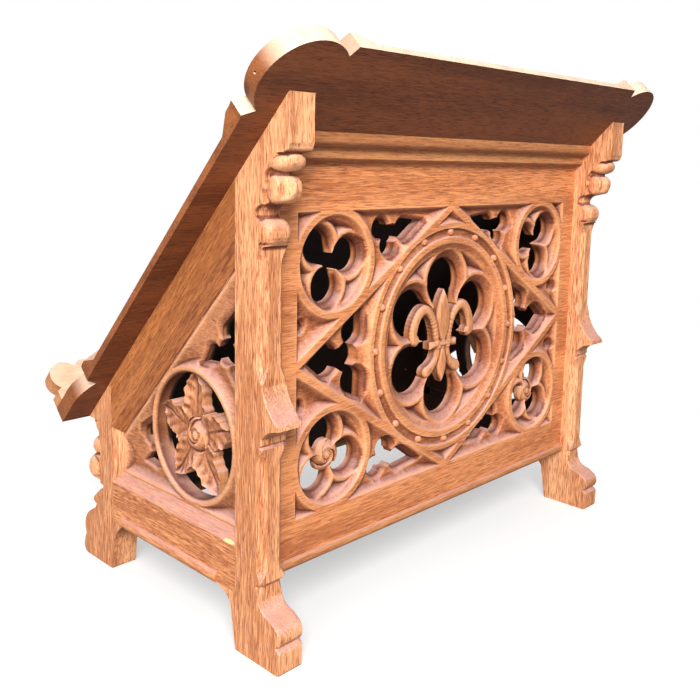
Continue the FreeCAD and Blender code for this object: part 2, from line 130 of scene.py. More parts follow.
def parts_of(tree, vector):
    return new_node(tree, "SeparateXYZ", vector).outputs


def mix_node(tree, factor, a, b, blend="MIX"):
    node = tree.nodes.new("ShaderNodeMix")
    node.data_type = "RGBA"
    node.blend_type = blend
    sockets = {socket.identifier: socket for socket in node.inputs}
    for key, value in (("Factor_Float", factor), ("A_Color", a), ("B_Color", b)):
        plug(tree, value, sockets[key])
    return next(socket for socket in node.outputs if socket.identifier == "Result_Color")


def tinted(tree, colour, tint):
    return mix_node(tree, 1.0, colour, (*tint, 1), "MULTIPLY")


def noise_node(tree, vector, scale, detail=3.0, rough=0.55):
    return new_node(tree, "TexNoise", Vector=vector, Scale=scale, Detail=detail,
                    Roughness=rough).outputs["Fac"]


def ramp_node(tree, value, low, high, start=0.0):
    """Rises smoothly from `start` at `low` to 1 at `high`."""
    node = new_node(tree, "MapRange", Value=value, From_Min=low, From_Max=high, To_Min=start)
    node.interpolation_type = "SMOOTHSTEP"
    return node.outputs["Result"]


def attribute_node(tree, name):
    node = tree.nodes.new("ShaderNodeAttribute")
    node.attribute_name = name
    return node.outputs["Fac"]


def group_node(tree, group, **values):
    node = tree.nodes.new("ShaderNodeGroup")
    node.node_tree = group
    for name, value in values.items():
        plug(tree, value, node.inputs[name])
    return node.outputs


def new_group(name, inputs, outputs):
    """A shader group, what comes in and what goes out of it."""
    tree = bpy.data.node_groups.new(name, "ShaderNodeTree")
    for label, kind, value in inputs:
        socket = tree.interface.new_socket(name=label, socket_type="NodeSocket" + kind)
        if value is not None:
            socket.default_value = value
    for label, kind in outputs:
        tree.interface.new_socket(name=label, in_out="OUTPUT", socket_type="NodeSocket" + kind)
    return tree, tree.nodes.new("NodeGroupInput").outputs, tree.nodes.new("NodeGroupOutput").inputs


def new_finish(name):
    """A material, its tree, its shader and its coordinates."""
    mat = bpy.data.materials.new(name)
    mat.use_nodes = True
    tree = mat.node_tree
    return mat, tree, tree.nodes["Principled BSDF"], tree.nodes.new("ShaderNodeTexCoord").outputs


print("node helpers ready")

# %% [markdown]
# ## Light and floor
# A broad soft sky from above and the left is what shows carving best: it leaves the upper flank
# of each hollow dark and the lower one pale. Past the shadow the floor fades to the same white
# as the studio wall.

# %% Lights
LIT_POINT = Vector((0, 0, 0.2))


def area_light(name, place, size, power, colour):
    data = bpy.data.lights.new(name, "AREA")
    data.shape = "DISK"
    data.size = size
    data.energy = power
    data.color = colour
    lamp = add_object(name, data)
    lamp.location = place
    lamp.rotation_euler = (LIT_POINT - Vector(place)).to_track_quat("-Z", "Y").to_euler()


area_light("sky_key", (-1.35, -1.45, 1.45), 1.0, 72.0, (1.0, 0.985, 0.965))
area_light("sky_top", (-0.1, 0.1, 2.7), 1.8, 26.0, (0.90, 0.93, 1.0))
area_light("side_fill", (-2.6, -1.1, 0.6), 1.6, 40.0, (1.0, 0.97, 0.95))

# %% Studio wall and floor
FADE_FROM, FADE_TO = 0.26, 0.62  # distance from the middle, m


def lens_ray(tree):
    return tree.nodes.new("ShaderNodeLightPath").outputs["Is Camera Ray"]


def seen_or_bounced(tree, seen, bounced):
    """White where the lens sees it, dimmer where it lights the wood."""
    return mix_node(tree, lens_ray(tree), (bounced, bounced, bounced, 1), (seen, seen, seen, 1))


world = bpy.data.worlds.new("studio")
bpy.context.scene.world = world
world.use_nodes = True
sky = world.node_tree.nodes["Background"]
plug(world.node_tree, seen_or_bounced(world.node_tree, 1.0, 0.34), sky.inputs["Color"])
sky.inputs["Strength"].default_value = 1.0

floor_mesh = bpy.data.meshes.new("floor")
floor_mesh.from_pydata([(-9, -9, 0), (9, -9, 0), (9, 9, 0), (-9, 9, 0)], [], [(0, 1, 2, 3)])
floor = add_object("floor", floor_mesh)
floor_paint, tree, shader, place = new_finish("pale_floor")
plug(tree, seen_or_bounced(tree, 0.95, 0.30), shader.inputs["Base Color"])
shader.inputs["Roughness"].default_value = 0.9
fade = ramp_node(tree, vector_node(tree, "LENGTH", place["Object"]), FADE_FROM, FADE_TO, 0.5)
glow = tree.nodes.new("ShaderNodeEmission")
blend = new_node(tree, "MixShader", times(tree, fade, lens_ray(tree)), shader.outputs[0],
                 glow.outputs[0])
plug(tree, blend.outputs[0], tree.nodes["Material Output"].inputs["Surface"])
floor_mesh.materials.append(floor_paint)
print("floor", floor_paint.name)

# %% [markdown]
# ## Oak
# Waxed oak is an orange brown with three sizes of figure: broad growth bands, finer streaks
# along the grain, and short dark pores. One node group makes all three from Object
# coordinates, squeezed along the grain. Its values change with each board's grain direction.

# %% Oak figure group
BAND_SCALE, STREAK_SCALE, PORE_SCALE = 42.0, 760.0, 1500.0
oak, wire, result = new_group(
    "oak_figure",
    (("Grain", "Vector", None), ("Pale", "Color", (0.62, 0.30, 0.13, 1)),
     ("Deep", "Color", (0.36, 0.135, 0.05, 1)), ("Pores", "Float", 0.6)),
    (("Color", "Color"), ("Roughness", "Float"), ("Height", "Float")))
bands = noise_node(oak, wire["Grain"], BAND_SCALE, 2.0)
streaks = noise_node(oak, wire["Grain"], STREAK_SCALE, 3.0, 0.65)
pores = noise_node(oak, wire["Grain"], PORE_SCALE, 2.0, 0.5)
tone = ramp_node(oak, plus(oak, times(oak, bands, 0.42), times(oak, streaks, 0.58)), 0.38, 0.60)
body = mix_node(oak, tone, wire["Deep"], wire["Pale"])
pore_mask = times(oak, ramp_node(oak, pores, 0.53, 0.64), wire["Pores"])
plug(oak, mix_node(oak, pore_mask, body, tinted(oak, body, (0.46, 0.33, 0.26))), result["Color"])
rough = plus(oak, 0.40, times(oak, streaks, 0.22))
plug(oak, plus(oak, rough, times(oak, pore_mask, 0.2)), result["Roughness"])
plug(oak, minus(oak, times(oak, streaks, 0.35), pore_mask), result["Height"])
print("group", oak.name, len(oak.nodes))

# %% [markdown]
# ## Age and painted light
# Waxed carving never keeps one colour. Faces that look up get a pale, pinkish painted sky
# reflection, faces that look down get painted shade, hollows get painted shade that deepens with
# depth, the foot of each cut gets painted shade and each arris is rubbed bare. A second group adds
# all of that from the face's direction and from two values, `hollow` and `quirk`, that the carved
# meshes carry at each point.

# %% Age and painted light group
SHEEN_TINT = (0.62, 0.36, 0.33)
age_and_painted_light, wire, result = new_group(
    "aged_oak_and_painted_light",
    (("Color", "Color", None), ("Bloom", "Float", 0.6), ("Under", "Float", 0.5),
     ("Dust", "Color", (*SHEEN_TINT, 1)), ("Sky", "Vector", None), ("Hollow", "Float", 0.0),
     ("Quirk", "Float", 0.0)),
    (("Color", "Color"),))
place = age_and_painted_light.nodes.new("ShaderNodeTexCoord").outputs
# painted shade: hollows darken with their depth
sunk = times(age_and_painted_light, ramp_node(age_and_painted_light, wire["Hollow"], 1.0, 10.0), 0.8)
deepened = mix_node(age_and_painted_light, sunk, wire["Color"], tinted(age_and_painted_light, wire["Color"], (0.50, 0.36, 0.33)))
patch = plus(age_and_painted_light, 0.6, times(age_and_painted_light, noise_node(age_and_painted_light, place["Object"], 60.0, 2.0), 0.8))
# painted sky reflection: faces that look up go pale and pinkish, in patches
to_sky = vector_node(age_and_painted_light, "DOT_PRODUCT", place["Normal"], wire["Sky"])
upward = times(age_and_painted_light, ramp_node(age_and_painted_light, to_sky, 0.12, 0.75), wire["Bloom"])
paled = mix_node(age_and_painted_light, times(age_and_painted_light, upward, patch, clamp=True), deepened, wire["Dust"])
# painted shade: faces that look down go dark
to_floor = times(age_and_painted_light, parts_of(age_and_painted_light, place["Normal"])["Z"], -1.0)
downward = times(age_and_painted_light, ramp_node(age_and_painted_light, to_floor, 0.15, 0.7), wire["Under"])
shaded = mix_node(age_and_painted_light, downward, paled, tinted(age_and_painted_light, paled, (0.44, 0.32, 0.27)))
worn = times(age_and_painted_light, times(age_and_painted_light, wire["Quirk"], -1.0, clamp=True), 0.4)
rubbed = mix_node(age_and_painted_light, worn, shaded, (0.84, 0.44, 0.22, 1))
# painted shade in the foot of each cut
crease_shade = times(age_and_painted_light, times(age_and_painted_light, wire["Quirk"], 1.0, clamp=True), 0.92)
plug(age_and_painted_light, mix_node(age_and_painted_light, crease_shade, rubbed, tinted(age_and_painted_light, rubbed, (0.26, 0.15, 0.11))), result["Color"])
print("group", age_and_painted_light.name, len(age_and_painted_light.nodes))

# %% [markdown]
# ## Oak finishes
# Every finish is the figure, then its age and painted light. Two masks finish it: the inside of
# the frame sees almost no light, so it gets painted shade and is nearly black, and one rail has a
# small fresh bruise.

# %% Masks
INSIDE_X, INSIDE_Y, INSIDE_FRONT, INSIDE_Z = 0.2025, -0.0835, 0.0985, 0.046  # m
SOFT = 0.003  # width of the masks' edges, m
CHIP_REACH = 0.0019


def inside_shade_mask(tree, place):
    """Where the painted shade goes: 1 on what lies within the frame, except on faces that look up.
    """
    at = parts_of(tree, place["Object"])
    across = math_node(tree, "ABSOLUTE", at["X"])
    mask = ramp_node(tree, minus(tree, INSIDE_X, across), 0.0, SOFT)
    mask = times(tree, mask, ramp_node(tree, at["Y"], INSIDE_Y, INSIDE_Y + SOFT))
    mask = times(tree, mask, ramp_node(tree, minus(tree, INSIDE_FRONT, at["Y"]), 0.0, SOFT))
    mask = times(tree, mask, ramp_node(tree, at["Z"], INSIDE_Z, INSIDE_Z + 0.01))
    to_floor = times(tree, parts_of(tree, place["Normal"])["Z"], -1.0)
    return times(tree, mask, ramp_node(tree, to_floor, -0.5, -0.3))


def chip_mask(tree, place, chip):
    """1 on a small ragged bruise round the point `chip`."""
    offset = vector_node(tree, "SUBTRACT", place["Object"], chip)
    reach = vector_node(tree, "LENGTH", vector_node(tree, "MULTIPLY", offset, (0.6, 0.22, 1.0)))
    ragged = plus(tree, reach, times(tree, noise_node(tree, place["Object"], 700.0, 2.0), 0.0016))
    return minus(tree, 1.0, ramp_node(tree, ragged, CHIP_REACH, CHIP_REACH + 0.0005))


print("inside half width", INSIDE_X)

# %% Oak finish
# Coordinates are squeezed along the grain, which draws the figure out about fourteen times.
ALONG = {"x": (0.07, 1.0, 1.0), "y": (1.0, 0.07, 1.0), "z": (1.0, 1.0, 0.07)}


# painted_sheen and sheen_tint set a painted sky reflection on faces that look up; under sets
# painted shade on faces that look down
def oak_finish(name, grain, pale, deep, pores=0.6, tilt=0.0, shift=0.0, under=0.5, painted_sheen=0.5,
               inside=False, sheen_tint=SHEEN_TINT, sky=(0, 0, 1), chip=None):
    mat, tree, shader, place = new_finish(name)
    turned = new_node(tree, "Mapping", Vector=place["Object"], Rotation=(tilt, 0.0, 0.0),
                      Location=(shift, shift * 0.7, shift * 1.3))
    squeezed = new_node(tree, "Mapping", Vector=turned.outputs["Vector"], Scale=ALONG[grain])
    figure = group_node(tree, oak, Grain=squeezed.outputs["Vector"], Pale=(*pale, 1),
                        Deep=(*deep, 1), Pores=pores)
    colour = group_node(tree, age_and_painted_light, Color=figure["Color"], Bloom=painted_sheen, Under=under,
                        Dust=(*sheen_tint, 1), Sky=sky, Hollow=attribute_node(tree, "hollow"),
                        Quirk=attribute_node(tree, "quirk"))["Color"]
    if inside:
        # painted shade: the inside of the frame goes nearly black
        unlit = tinted(tree, colour, (0.05, 0.035, 0.03))
        colour = mix_node(tree, inside_shade_mask(tree, place), colour, unlit)
    if chip:
        colour = mix_node(tree, chip_mask(tree, place, chip), colour, (0.80, 0.56, 0.28, 1))
    plug(tree, colour, shader.inputs["Base Color"])
    plug(tree, figure["Roughness"], shader.inputs["Roughness"])
    bump = new_node(tree, "Bump", Strength=0.45, Distance=0.0005, Height=figure["Height"])
    plug(tree, bump.outputs["Normal"], shader.inputs["Normal"])
    shader.inputs["Specular IOR Level"].default_value = 0.45
    return mat


PALE, DEEP = (0.78, 0.340, 0.150), (0.42, 0.140, 0.048)
RAIL_CHIP = (-0.2190, -0.0735, 0.0805)
DESK_SLOPE = math.radians(45.74)
oaks = {
    "post": oak_finish("post_oak", "z", (0.86, 0.41, 0.20), (0.46, 0.165, 0.062), 0.9, inside=True),
    "rail": oak_finish("rail_oak", "y", PALE, DEEP, 0.9, shift=0.31, inside=True, chip=RAIL_CHIP),
    # painted shade: the sloping rail's colours are darker for the shade of the desk board's
    # overhang
    "slope": oak_finish("slope_oak", "y", (0.52, 0.185, 0.055), (0.29, 0.093, 0.026), 0.7,
                        tilt=DESK_SLOPE, shift=0.17, inside=True),
    # board: its underside gets painted shade, its up-facing chamfers a pale painted sky reflection
    "board": oak_finish("board_oak", "x", (0.33, 0.105, 0.030), (0.17, 0.048, 0.013), 0.7,
                        shift=0.55, under=0.6, inside=True, painted_sheen=0.8, sheen_tint=(0.84, 0.61, 0.45),
                        sky=(0, -0.62, 0.78)),
    # ledge: its pale top is a painted sky reflection
    "ledge": oak_finish("ledge_oak", "x", (0.60, 0.27, 0.12), (0.36, 0.14, 0.05), 0.6, shift=0.83,
                        painted_sheen=0.6, sheen_tint=(0.84, 0.60, 0.43)),
    "carved": oak_finish("carved_oak", "x", (0.75, 0.290, 0.112), (0.44, 0.136, 0.044), 0.6,
                         shift=0.42, inside=True, painted_sheen=0.62, under=0.85),
    "carved_side": oak_finish("carved_side_oak", "y", (0.62, 0.27, 0.125), (0.36, 0.13, 0.05), 0.6,
                              shift=0.62, inside=True, painted_sheen=0.62, under=0.85),
    # painted shade: the moulding's colours are darker for the shade under the desk board; the panel
    # bead shares this finish
    "mould": oak_finish("moulding_oak", "x", (0.58, 0.245, 0.095), (0.38, 0.14, 0.048), 0.5,
                        shift=0.21, under=0.8),
    "side_mould": oak_finish("side_moulding_oak", "y", PALE, DEEP, 0.4, shift=0.11),
    "ornament": oak_finish("ornament_oak", "z", (0.62, 0.26, 0.11), (0.36, 0.125, 0.045), 0.4,
                           shift=0.9, painted_sheen=0.6, under=0.8),
    "apron": oak_finish("apron_oak", "x", (0.45, 0.20, 0.085), (0.28, 0.11, 0.042), 0.7, shift=0.7,
                        inside=True),
}
print("finishes", len(oaks))

# %% [markdown]
# ## Metal finishes
# The screws are aged brass and the pins are steel; both are duller where they are worn.


# %% Metal finishes
def metal_finish(name, colour, rough):
    mat, tree, shader, place = new_finish(name)
    wear = noise_node(tree, place["Object"], 900.0, 3.0)
    dull = tuple(c * 0.55 for c in colour)
    worn = mix_node(tree, ramp_node(tree, wear, 0.4, 0.65), (*colour, 1), (*dull, 1))
    plug(tree, worn, shader.inputs["Base Color"])
    plug(tree, plus(tree, rough, times(tree, wear, 0.25)), shader.inputs["Roughness"])
    shader.inputs["Metallic"].default_value = 1.0
    return mat


brass = metal_finish("aged_brass", (0.55, 0.38, 0.16), 0.3)
steel = metal_finish("pin_steel", (0.20, 0.17, 0.15), 0.4)
print("metals", brass.name, steel.name)

# %% [markdown]
# ## Finishes on the plain pieces
# Each board's grain runs along its length, as a joiner would cut it.

# %% Assign finishes to CAD nodes
finish_of = {
    "desk_board": "board", "book_ledge": "ledge", "cornice_mould": "mould", "panel_bead": "mould",
    "front_apron_board": "apron",
}
for side, _ in SIDES:
    finish_of.update({
        "rear_post_" + side: "post", "front_post_" + side: "post", "side_top_rail_" + side: "slope",
        "side_bottom_rail_" + side: "rail", "side_bead_" + side: "side_mould",
    })


def paint(node, material):
    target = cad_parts[node]
    for thing in (target if isinstance(target, (list, tuple)) else [target]):
        thing.data.materials.clear()
        thing.data.materials.append(material)


for node, key in finish_of.items():
    paint(node, oaks[key])
for node, metal in (("desk_screws", brass), ("ledge_screws", brass), ("bead_pins", steel)):
    paint(node, metal)
print("painted", len(finish_of) + 3)

# %% [markdown]
# ## Tool marks and worn edges
# Cut wood is never quite even, so a smooth random height stands for the marks of the gouge. How
# far a point lies above or below its neighbours says whether it is an arris or the foot of a cut.

# %% Tool marks
TABLE = 64
NEAR = ((1.3, 0), (-1.3, 0), (0, 1.3), (0, -1.3))
AROUND = ((4, 0), (-4, 0), (0, 4), (0, -4), (2.8, 2.8), (-2.8, -2.8))


def unit(x):
    return np.clip(x, 0, 1)


def soft_noise(u, v, cell, seed):
    """Smooth random height between -1 and 1 with a given cell size, the same each run."""
    table = np.random.default_rng(seed).uniform(-1, 1, (TABLE, TABLE))
    a, b = u / cell, v / cell
    i, j = np.floor(a).astype(int), np.floor(b).astype(int)
    s, t = a - i, b - j
    s, t = s * s * (3 - 2 * s), t * t * (3 - 2 * t)
    low, high = (table[np.mod(i, TABLE), np.mod(q, TABLE)] * (1 - s)
                 + table[np.mod(i + 1, TABLE), np.mod(q, TABLE)] * s for q in (j, j + 1))
    return low * (1 - t) + high * t


def quirk_of(depth, u, v, d):
    """Above 0 in the foot of a cut, below 0 on an arris: the depth against its mean nearby."""
    fine, wide = (sum(depth(u + p, v + q) for p, q in steps) / len(steps)
                  for steps in (NEAR, AROUND))
    return np.clip((d - fine) / 0.7 + (d - wide) / 2.6, -1, 1)


print("tool mark table", TABLE)

# %% [markdown]
# ## How a pierced board is carved
# A carver saws the openings through first, then sinks the ground from the face. The same two
# facts make the mesh: a signed distance to the nearest opening, and a depth below the face.
# A fine grid is laid on the board, its points near an opening are pulled on to the outline, the
# triangles inside the opening go, and the rest gets a back and walls.


# %% Carving grid
def on_outline(u, v, us, vs, opening):
    """Pulls the points next to an outline on to it; also returns the gap, 0 on the outline."""
    gap = opening(u, v)
    gu, gv = np.gradient(gap, us, vs)
    size = np.maximum(np.hypot(gu, gv), 0.3)
    cell = min(np.min(np.diff(us)), np.min(np.diff(vs)))
    near = np.abs(gap) < 0.5 * cell
    u = np.where(near, u - gap * gu / size ** 2, u)
    v = np.where(near, v - gap * gv / size ** 2, v)
    return u, v, np.where(near, 0.0, gap)


def face_triangles(gap):
    """The grid's triangles outside every opening, each cell cut along the outline."""
    index = np.arange(gap.size).reshape(gap.shape)
    a, b, c, e = index[:-1, :-1], index[1:, :-1], index[1:, 1:], index[:-1, 1:]
    g = gap.reshape(-1)
    swap = ((g[b] == 0) & (g[e] == 0) & ~((g[a] == 0) & (g[c] == 0)))[..., None]
    one = np.where(swap, np.stack((a, b, e), -1), np.stack((a, b, c), -1)).reshape(-1, 3)
    two = np.where(swap, np.stack((b, c, e), -1), np.stack((a, c, e), -1)).reshape(-1, 3)
    tris = np.concatenate((one, two))
    return tris[(g[tris].min(1) >= 0) & (g[tris].max(1) > 0)]


def rim_of(tris, n):
    """Edges with a triangle on one side only."""
    edges = np.concatenate((tris[:, [0, 1]], tris[:, [1, 2]], tris[:, [2, 0]])).astype(np.int64)
    return edges[~np.isin(edges[:, 0] * n + edges[:, 1], edges[:, 1] * n + edges[:, 0])]


def point_values(mesh, name, values):
    attribute = mesh.attributes.new(name, "FLOAT", "POINT")
    attribute.data.foreach_set("value", values.astype(np.float32))


def shade_smooth(mesh, degrees):
    """Smooth shading, except at edges sharper than this angle."""
    mesh.polygons.foreach_set("use_smooth", np.ones(len(mesh.polygons), bool))
    mesh.update()
    mesh.set_sharp_from_angle(angle=math.radians(degrees))


def carve(name, us, vs, opening, depth, thick, place, material, flip=False):
    """Closed mesh of a carved board; `place(u, v, d)` puts a point d below the face, in mm."""
    u, v = np.meshgrid(us, vs, indexing="ij")
    u, v, gap = on_outline(u, v, us, vs, opening)
    d = np.clip(depth(u, v), 0.0, thick - 1.0)
    quirk = quirk_of(depth, u, v, d)
    n = u.size
    tris = face_triangles(gap)
    rim = rim_of(tris, n)
    wall = np.concatenate((np.stack((rim[:, 1], rim[:, 0], rim[:, 0] + n), -1),
                           np.stack((rim[:, 1], rim[:, 0] + n, rim[:, 1] + n), -1)))
    faces = np.concatenate((tris, tris[:, ::-1] + n, wall))
    if flip:
        faces = faces[:, ::-1]
    used = np.unique(faces)
    remap = np.zeros(2 * n, int)
    remap[used] = np.arange(len(used))
    points = np.concatenate([np.stack(place(u, v, below), -1).reshape(-1, 3)
                             for below in (d, np.full_like(d, thick))])[used] * MM
    mesh = bpy.data.meshes.new(name)
    mesh.from_pydata(points.tolist(), [], remap[faces].tolist())
    for value_name, values in (("hollow", d), ("quirk", quirk)):
        point_values(mesh, value_name, np.concatenate((values.reshape(-1), np.zeros(n)))[used])
    shade_smooth(mesh, 38)
    mesh.materials.append(material)
    thing = add_object(name, mesh)
    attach(thing, "root")
    print(name, "triangles", len(faces), "closed rim", len(rim))
    return thing


print("carving grid ready")

# %% [markdown]
# ## Outlines
# Each opening is a union of simple shapes. Each shape is written as a distance, below 0 inside
# it, so that the union is only the smallest of them.


# %% Outlines
def disc(u, v, cu, cv, r):
    return np.hypot(u - cu, v - cv) - r


def drop(u, v, cu, cv, r, tip):
    """Distance to a round foil drawn out to a point at `tip`."""
    length = math.hypot(tip[0] - cu, tip[1] - cv)
    du, dv = (tip[0] - cu) / length, (tip[1] - cv) / length
    across = np.abs(-(u - cu) * dv + (v - cv) * du)
    along = (u - cu) * du + (v - cv) * dv
    b = r / length
    a = math.sqrt(1 - b * b)
    k = -b * across + a * along
    flank = across * a + along * b - r
    past_tip = np.where(k > a * length, np.hypot(across, along - length), flank)
    return np.where(k < 0, np.hypot(across, along) - r, past_tip)


def joined(parts):
    """Distance to a union of shapes."""
    return np.minimum.reduce(parts)


def cove(d, wide, deep):
    """Hollow that falls steeply from a fillet's edge and flattens out."""
    t = unit(d / wide)
    return deep * (1 - (1 - t) ** 1.8)


def foil_gap(u, v, foil):
    cu, cv, r, tip = foil
    return disc(u, v, cu, cv, r) if tip is None else drop(u, v, cu, cv, r, tip)


def star(u, v, cu, cv, tip, reach, half, first, count):
    """The middle of a foiled opening, with `count` cusps that run in to points at radius `tip`."""
    r = np.hypot(u - cu, v - cv)
    step = 2 * math.pi / count
    off = np.mod(np.arctan2(v - cv, u - cu) - first + step / 2, step) - step / 2
    cusp = (r * np.cos(off) - tip) / (reach - tip) * half - np.abs(r * np.sin(off))
    return np.maximum(r - reach, cusp)


print("outline tools ready")

# %% [markdown]
# ## Tall panel
# The pattern is set out with compasses: a lozenge whose sides touch a great ring, a ring in
# each corner, six foils in the great ring and three in each small one.

# %% Setting out
MID_Z = 206.0
FIELD_X, FIELD_LOW, FIELD_TOP = 177.0, 92.0, 320.0
LOZ_X, LOZ_Z = 180.0, 114.5
FACE_Y, PANEL_BACK = 13.0, 29.5
GREAT_RING, GREAT_BOWL, BEAD_R, BEAD_HALF, BEAD_DEEP = 100.0, 83.0, 91.75, 3.75, 3.0
CORNER_X, CORNER_Z, CORNER_RING, CORNER_BOWL = 138.5, 75.0, 41.5, 36.5
HEX_OUT, HEX_FOIL, HEX_ARRIS = 49, 20.5, 28.0  # distance out, radius and outer arris of a foil
TRE_OUT, TRE_FOIL, TRE_ARRIS = 18.3, 13.0, 17.6
BOTH = (-1, 1)


def around(cu, cv, out, first, count):
    """`count` points on a circle; `first` is the first one's angle in degrees."""
    angles = [math.radians(first + 360 // count * k) for k in range(count)]
    return [(cu + out * math.cos(a), cv + out * math.sin(a)) for a in angles]


corner_rings = [(sx * CORNER_X, MID_Z + sz * CORNER_Z, sx, sz) for sx in BOTH for sz in BOTH]
hex_foils = around(0, MID_Z, HEX_OUT, 90, 6)
tre_foils = [around(cx, cz, TRE_OUT, math.degrees(math.atan2(sz, sx)), 3)
             for cx, cz, sx, sz in corner_rings]
small_foils = []
for sx in BOTH:
    small_foils.append((sx * 141.0, MID_Z, 12.5, (sx * 160.0, MID_Z)))
    for sz in BOTH:
        small_foils += [
            (sx * 113.5, MID_Z + sz * 19.5, 10.5, (sx * 103.6, MID_Z + sz * 35.0)),
            (sx * 57.0, MID_Z + sz * 97.0, 8.6, (sx * 34.0, MID_Z + sz * 103.0)),
            (sx * 84.0, MID_Z + sz * 98.0, 8.4, None), (sx * 74.5, MID_Z + sz * 84.5, 8.2, None),
            (sx * 169.5, MID_Z + sz * 30.0, 3.2, None)]
print("small foils", len(small_foils))

# %% [markdown]
# The ground falls in a cove from the bars and rings, dishes round each foil, and sinks into a
# pocket where two foils leave room. The great ring has a round groove for its pellets.


# %% Openings and ground of the tall panel
def tall_opening(u, v):
    parts = [star(u, v, 0, MID_Z, 30.0, 42.4, 4.0, 0.0, 6)]
    parts += [disc(u, v, x, z, HEX_FOIL) for x, z in hex_foils]
    for (cx, cz, sx, sz), foils in zip(corner_rings, tre_foils):
        parts.append(star(u, v, cx, cz, 7.0, 14.0, 3.8, math.atan2(sz, sx) + math.pi / 3, 3))
        parts += [disc(u, v, x, z, TRE_FOIL) for x, z in foils]
    parts += [foil_gap(u, v, foil) for foil in small_foils]
    for sx in BOTH:
        parts.append(disc(u, v, sx * 120.5, MID_Z, 12.0))
        parts += [disc(u, v, sx * 71.0, MID_Z + sz * 93.5, 8.6) for sz in BOTH]
    return joined(parts)


def foil_dish(d, gap, open_gap, reach, rim, fall):
    """Deepens d round a small foil; `gap` is the distance from its edge."""
    dish = rim + fall * (1 - unit(gap / reach))
    return np.maximum(d, np.where((gap < reach) & (open_gap > 0), dish, 0))


def foiled_bowl(u, v, cu, cv, ring, arris, foil, foils, ground=4.5, edge=10.0):
    """Hollow inside a ring: a cove, a bowl round each foil and a sunk pocket between them."""
    radius = np.hypot(u - cu, v - cv)
    d = cove(ring - radius, 0.09 * ring + 2.0, ground)
    rims = [np.hypot(u - x, v - z) for x, z in foils]
    for r in rims:
        bowl = ground - 1.2 + (edge - ground + 1.2) * unit((arris - r) / (arris - foil)) ** 0.75
        d = np.maximum(d, np.where(r < arris, bowl, 0))
    nearest = np.sort(np.stack(rims), 0)
    pocket = np.minimum(nearest[0] - arris - 1.6, ring * 0.92 - 1.0 - radius)
    d = np.maximum(d, np.where(pocket > 0, ground + 1.25 * pocket, 0))
    return np.where(radius < ring, np.minimum(d, edge + 1.5), 0.0)


def tall_depth(u, v):
    side = np.abs(u) / LOZ_X + np.abs(v - MID_Z) / LOZ_Z - 1
    bar = np.abs(side / math.hypot(1 / LOZ_X, 1 / LOZ_Z)) - 2.75
    radius = np.hypot(u, v - MID_Z)
    frame_gap = joined([FIELD_X - np.abs(u), v - FIELD_LOW, FIELD_TOP - v]) * 1.5
    small = joined([disc(u, v, cx, cz, CORNER_RING) for cx, cz, sx, sz in corner_rings])
    open_gap = joined([bar, radius - GREAT_RING, small, frame_gap])
    d = cove(open_gap, 9.0, 6.0)
    for foil in small_foils:
        d = foil_dish(d, foil_gap(u, v, foil), open_gap, 4.2, 5.2, 3.6)
    d = np.where((open_gap > 0) & (radius >= GREAT_RING), d, 0.0)
    groove = unit(1 - ((radius - BEAD_R) / BEAD_HALF) ** 2)
    d = np.maximum(d, BEAD_DEEP * np.sqrt(groove))
    d = np.maximum(d, foiled_bowl(u, v, 0, MID_Z, GREAT_BOWL, HEX_ARRIS, HEX_FOIL, hex_foils))
    for (cx, cz, sx, sz), foils in zip(corner_rings, tre_foils):
        bowl = foiled_bowl(u, v, cx, cz, CORNER_BOWL, TRE_ARRIS, TRE_FOIL, foils)
        d = np.maximum(d, bowl)
    inside = (np.abs(u) < FIELD_X) & (v > FIELD_LOW) & (v < FIELD_TOP)
    tooled = 0.16 * soft_noise(u, v, 3.4, 5) + 0.1 * soft_noise(u, v, 1.5, 6)
    return np.where(inside, d + tooled * unit(d / 2.0), 0.0)


print("corner rings", len(corner_rings))

# %% [markdown]
# The panel is carved in two halves, which keeps each mesh small. Its top edge runs up under the
# desk board, and outside the carved field a few wide rows of cells are enough.

# %% Carve the tall panel
STEP = 0.85
FINE_X, PANEL_X = 179.0, 197.5  # half widths of the finely carved part and of the whole board
DESK_Y, DESK_Z, DESK_TAN = 238.0, 129.2, 1.0262  # a point under the desk board and its slope


def under_desk(y):
    """Height of the desk board's underside, y behind the face line of the tall posts."""
    return DESK_Z + (DESK_Y - y) * DESK_TAN


def tall_place(u, v, d):
    return u, FACE_Y + d - Y_MID, np.minimum(v, under_desk(FACE_Y + d))


z_line = np.concatenate(([56.0, 70.0, 84.0], np.linspace(90.0, 322.0, int(232 / STEP) + 1),
                         [332.0, 345.0, 365.0]))
fine_line = np.linspace(0.0, FINE_X, int(round(FINE_X / STEP)) + 1)
right_line = np.concatenate((fine_line, np.linspace(FINE_X, PANEL_X, 4)[1:]))
tall_parts = [
    carve("tall_panel_" + tag, x_line, z_line, tall_opening, tall_depth, PANEL_BACK - FACE_Y,
          tall_place, oaks["carved"])
    for tag, x_line in (("left", -right_line[::-1]), ("right", right_line))]
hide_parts("tall_tracery_panel")
print("tall panel in", len(tall_parts), "halves")

# %% [markdown]
# ## Pellets
# Sixteen small balls sit in the groove of the great ring, evenly spaced. A row of equal
# pieces on a circle is a job for Geometry Nodes: instance one ball on the circle's points.


